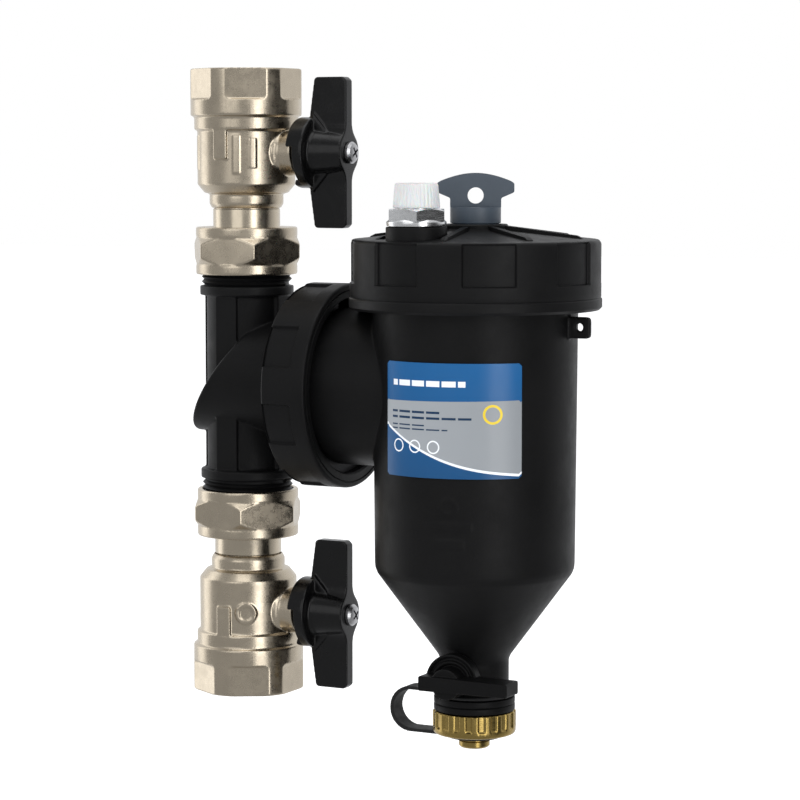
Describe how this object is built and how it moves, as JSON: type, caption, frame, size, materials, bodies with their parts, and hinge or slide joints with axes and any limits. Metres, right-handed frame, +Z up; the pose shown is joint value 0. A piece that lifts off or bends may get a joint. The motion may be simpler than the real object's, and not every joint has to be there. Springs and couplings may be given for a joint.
{
  "type": "magnetic system filter",
  "caption": "Union ball valves on a tee with a swivelling black canister, a pull-out magnet key, a vent and a drain cock.",
  "frame": {"origin": "centre of the lower valve's end face", "axes": "+Z up along the pipe, +X from the pipe to the canister, -Y is the front with the label"},
  "size_m": [0.2007, 0.1128, 0.3055],
  "materials": {
    "nickel_brass": "satin nickel plate",
    "raw_brass": "satin, machined",
    "steel": "satin",
    "chrome": "polished",
    "magnet_steel": "nickel-plated magnet, satin",
    "black_nylon": "matte glass-filled nylon",
    "satin_black": "satin black coating",
    "black_rubber": "matte rubber",
    "seal_white": "white PTFE",
    "clear_white": "milky white",
    "key_grey": "blue-grey, satin",
    "label_blue": "printed film"
  },
  "bodies": {
    "lower_valve": {"lower_valve_body": "nickel_brass", "lower_tailpiece": "nickel_brass", "lower_outer_seat": "seal_white", "lower_inner_seat": "seal_white", "lower_seat_retainer": "nickel_brass", "lower_stem_packing": "seal_white", "lower_gland": "nickel_brass", "lower_gasket": "black_rubber"},
    "lower_handle": {"lower_handle": "satin_black", "lower_handle_screw": "steel", "lower_stem": "steel", "lower_ball": "chrome"},
    "lower_nut": {"lower_union_nut": "nickel_brass"},
    "tee": {"tee_body": "black_nylon", "flow_diverter": "black_nylon"},
    "upper_valve": {"upper_valve_body": "nickel_brass", "upper_tailpiece": "nickel_brass", "upper_outer_seat": "seal_white", "upper_inner_seat": "seal_white", "upper_seat_retainer": "nickel_brass", "upper_stem_packing": "seal_white", "upper_gland": "nickel_brass", "upper_gasket": "black_rubber"},
    "upper_handle": {"upper_handle": "satin_black", "upper_handle_screw": "steel", "upper_stem": "steel", "upper_ball": "chrome"},
    "upper_nut": {"upper_union_nut": "nickel_brass"},
    "ring_nut": {"ring_nut": "black_nylon"},
    "canister": {"canister_shell": "black_nylon", "snap_ring": "steel", "nozzle_o_ring": "black_rubber", "filter_cage": "steel", "label_plate": "label_blue", "drain_outlet": "black_nylon", "drain_upper_seat": "seal_white", "drain_lower_seat": "seal_white", "drain_stem_o_ring": "black_rubber"},
    "drain_lever": {"drain_lever": "satin_black", "drain_stem": "steel", "drain_ball": "chrome"},
    "drain_seal": {"drain_gasket": "black_rubber", "cap_strap": "black_rubber"},
    "drain_cap": {"drain_cap": "raw_brass"},
    "lid_seal": {"lid_o_ring": "black_rubber"},
    "lid": {"lid_cover": "black_nylon", "magnet_sleeve": "black_nylon", "vent_body": "chrome", "vent_o_ring": "black_rubber"},
    "vent_cap": {"vent_cap": "clear_white"},
    "key_seal": {"key_o_ring": "black_rubber"},
    "magnet_key": {"key_handle": "key_grey", "magnet_rod": "steel", "magnet_1": "magnet_steel", "magnet_2": "magnet_steel", "magnet_3": "magnet_steel", "pole_piece_1": "steel", "pole_piece_2": "steel"}
  },
  "joints": [
    {"name": "lower_handle_turn", "type": "hinge", "parent": "lower_valve", "child": "lower_handle", "pos_m": [0.04, 0, 0.0385], "axis": [1, 0, 0], "range_deg": [0, 90]},
    {"name": "lower_nut_turn", "type": "hinge", "parent": "lower_valve", "child": "lower_nut", "pos_m": [0, 0, 0.0835], "axis": [0, 0, 1], "continuous": true},
    {"name": "tee_swivel", "type": "hinge", "parent": "lower_valve", "child": "tee", "pos_m": [0, 0, 0.0865], "axis": [0, 0, 1], "continuous": true},
    {"name": "upper_valve_swivel", "type": "hinge", "parent": "tee", "child": "upper_valve", "pos_m": [0, 0, 0.2025], "axis": [0, 0, 1], "continuous": true},
    {"name": "upper_nut_turn", "type": "hinge", "parent": "upper_valve", "child": "upper_nut", "pos_m": [0, 0, 0.2055], "axis": [0, 0, 1], "continuous": true},
    {"name": "upper_handle_turn", "type": "hinge", "parent": "upper_valve", "child": "upper_handle", "pos_m": [0.04, 0, 0.2505], "axis": [1, 0, 0], "range_deg": [0, 90]},
    {"name": "ring_nut_turn", "type": "hinge", "parent": "tee", "child": "ring_nut", "pos_m": [0.045, 0, 0.1445], "axis": [1, 0, 0], "continuous": true},
    {"name": "canister_swivel", "type": "hinge", "parent": "tee", "child": "canister", "pos_m": [0.045, 0, 0.1445], "axis": [1, 0, 0], "continuous": true},
    {"name": "lid_lift", "type": "slide", "parent": "canister", "child": "lid_seal", "axis": [0, 0, 1], "range_m": [0, 0.0121]},
    {"name": "lid_turn", "type": "hinge", "parent": "lid_seal", "child": "lid", "pos_m": [0.118, 0, 0.1945], "axis": [0, 0, 1], "range_deg": [0, 1080]},
    {"name": "vent_cap_turn", "type": "hinge", "parent": "lid", "child": "vent_cap", "pos_m": [0.10811, -0.03824, 0.2275], "axis": [0, 0, 1], "continuous": true},
    {"name": "key_pull", "type": "slide", "parent": "lid", "child": "key_seal", "axis": [0, 0, 1], "range_m": [0, 0.15]},
    {"name": "key_turn", "type": "hinge", "parent": "key_seal", "child": "magnet_key", "pos_m": [0.118, 0, 0.2245], "axis": [0, 0, 1], "continuous": true},
    {"name": "drain_lever_turn", "type": "hinge", "parent": "canister", "child": "drain_lever", "pos_m": [0.118, -0.025, 0.0165], "axis": [0, 1, 0], "range_deg": [0, 90]},
    {"name": "cap_travel", "type": "slide", "parent": "canister", "child": "drain_seal", "axis": [0, 0, -1], "range_m": [0, 0.0091], "deforming": ["cap_strap"]},
    {"name": "cap_turn", "type": "hinge", "parent": "drain_seal", "child": "drain_cap", "pos_m": [0.118, 0, -0.0055], "axis": [0, 0, -1], "range_deg": [0, 1080]}
  ],
  "couplings": [
    {"joint": "lid_lift", "follows": "lid_turn", "m_per_rad": 0.00063662},
    {"joint": "cap_travel", "follows": "cap_turn", "m_per_rad": 0.00047746}
  ]
}
